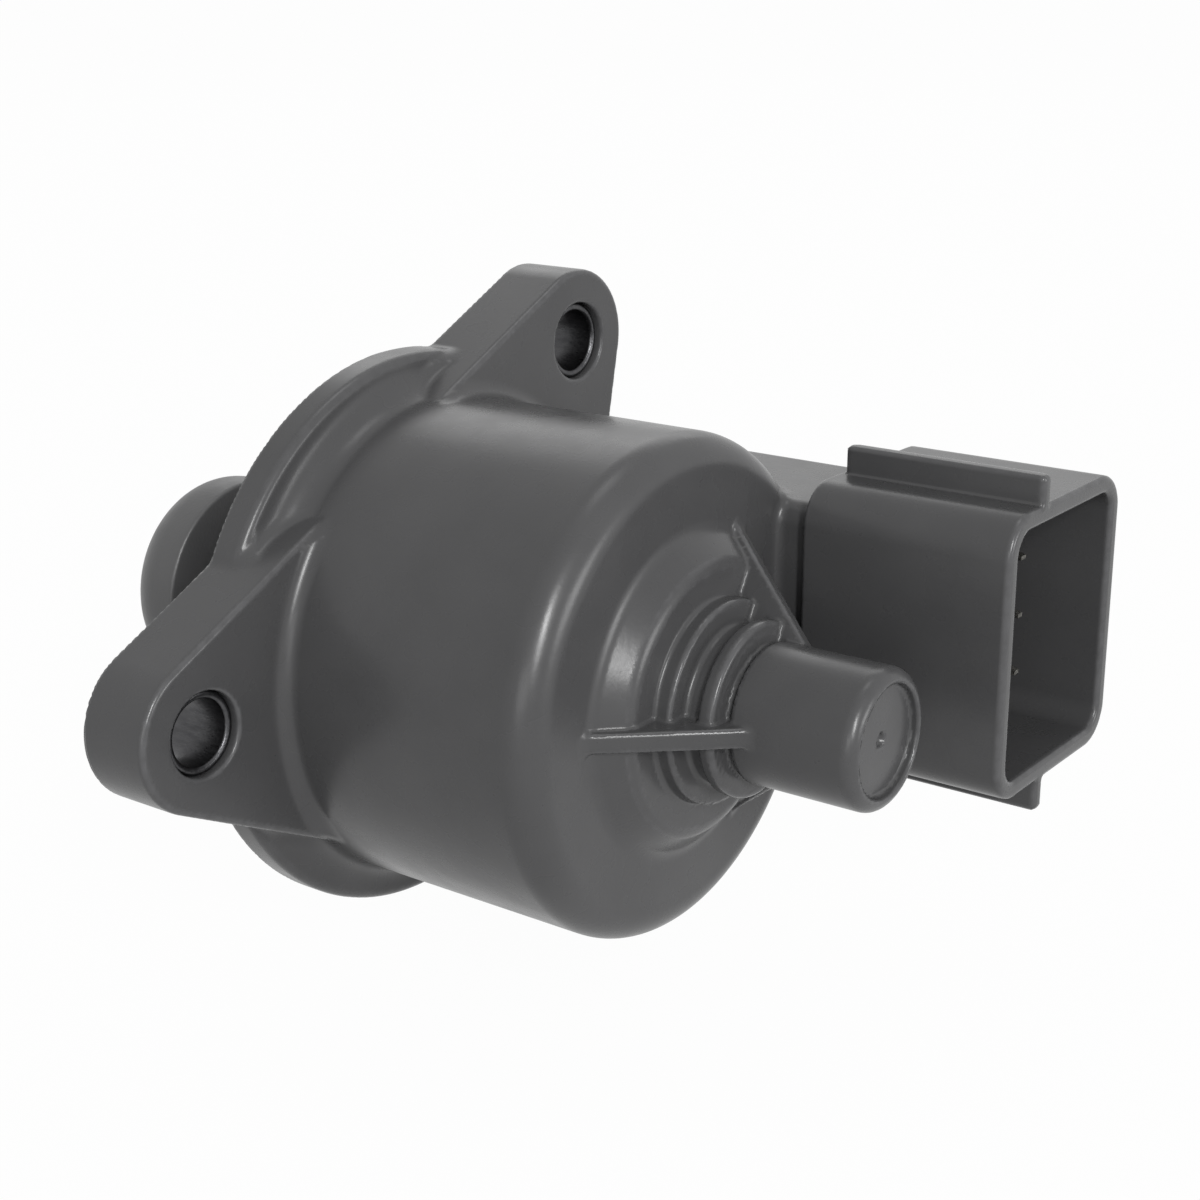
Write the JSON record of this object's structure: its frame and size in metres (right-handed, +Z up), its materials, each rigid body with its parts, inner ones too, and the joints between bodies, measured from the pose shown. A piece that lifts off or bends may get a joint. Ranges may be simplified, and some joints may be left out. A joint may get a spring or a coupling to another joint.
{
  "type": "idle air control valve",
  "caption": "Moulded stepper-motor air valve with an eared mounting flange, round body, gusseted rear nub, keyed box connector and a sprung plunger in a sealed pilot snout.",
  "frame": {"origin": "centre of the flange's mating face, on the valve axis", "axes": "+X along the valve axis from the mating face to the rear nub and the connector mouth, +Y towards the connector, +Z up; the plunger points towards -X"},
  "size_m": [0.0763, 0.0672, 0.058],
  "materials": {
    "housing_plastic": "satin, finely textured",
    "guide_plastic": "satin",
    "plunger_plastic": "satin",
    "bush_steel": "black oxide",
    "seal_rubber": "matt",
    "pole_steel": "plated sheet",
    "bobbin_plastic": "satin",
    "winding_copper": "enamelled copper wire",
    "terminal_brass": "tin plated",
    "bearing_steel": "polished",
    "cage_brass": "satin",
    "washer_steel": "spring steel",
    "bush_bronze": "sintered",
    "magnet_ferrite": "matt",
    "nut_plastic": "satin",
    "screw_steel": "ground",
    "spring_steel": "bright wire"
  },
  "bodies": {
    "valve_body": {"housing": "housing_plastic", "near_ear_bush": "bush_steel", "upper_ear_bush": "bush_steel", "lower_ear_bush": "bush_steel", "front_guide": "guide_plastic", "pilot_o_ring": "seal_rubber", "front_cup": "pole_steel", "front_pole_plate": "pole_steel", "rear_pole_plate": "pole_steel", "rear_cup": "pole_steel", "front_bobbin": "bobbin_plastic", "rear_bobbin": "bobbin_plastic", "front_winding": "winding_copper", "rear_winding": "winding_copper", "terminal_pin_1": "terminal_brass", "terminal_pin_2": "terminal_brass", "terminal_pin_3": "terminal_brass", "terminal_pin_4": "terminal_brass", "terminal_pin_5": "terminal_brass", "terminal_pin_6": "terminal_brass", "bearing_outer_race": "bearing_steel", "preload_washer": "washer_steel", "rear_bush": "bush_bronze", "plunger_spring": "spring_steel"},
    "rotor": {"rotor_magnet": "magnet_ferrite", "rotor_nut": "nut_plastic", "bearing_inner_race": "bearing_steel"},
    "ball_set": {"bearing_balls": "bearing_steel", "bearing_cage": "cage_brass"},
    "plunger": {"lead_screw": "screw_steel", "plunger_head": "plunger_plastic", "spring_seat": "washer_steel"}
  },
  "joints": [
    {"name": "rotor_spin", "type": "hinge", "parent": "valve_body", "child": "rotor", "pos_m": [0, 0, 0], "axis": [1, 0, 0], "range_deg": [0, 1800]},
    {"name": "ball_orbit", "type": "hinge", "parent": "valve_body", "child": "ball_set", "pos_m": [0, 0, 0], "axis": [1, 0, 0], "range_deg": [0, 761]},
    {"name": "plunger_slide", "type": "slide", "parent": "valve_body", "child": "plunger", "axis": [1, 0, 0], "range_m": [0, 0.007], "deforming": ["plunger_spring"]}
  ],
  "couplings": [
    {"joint": "plunger_slide", "follows": "rotor_spin", "m_per_rad": 0.0002228},
    {"joint": "ball_orbit", "follows": "rotor_spin", "ratio": 0.4225}
  ]
}
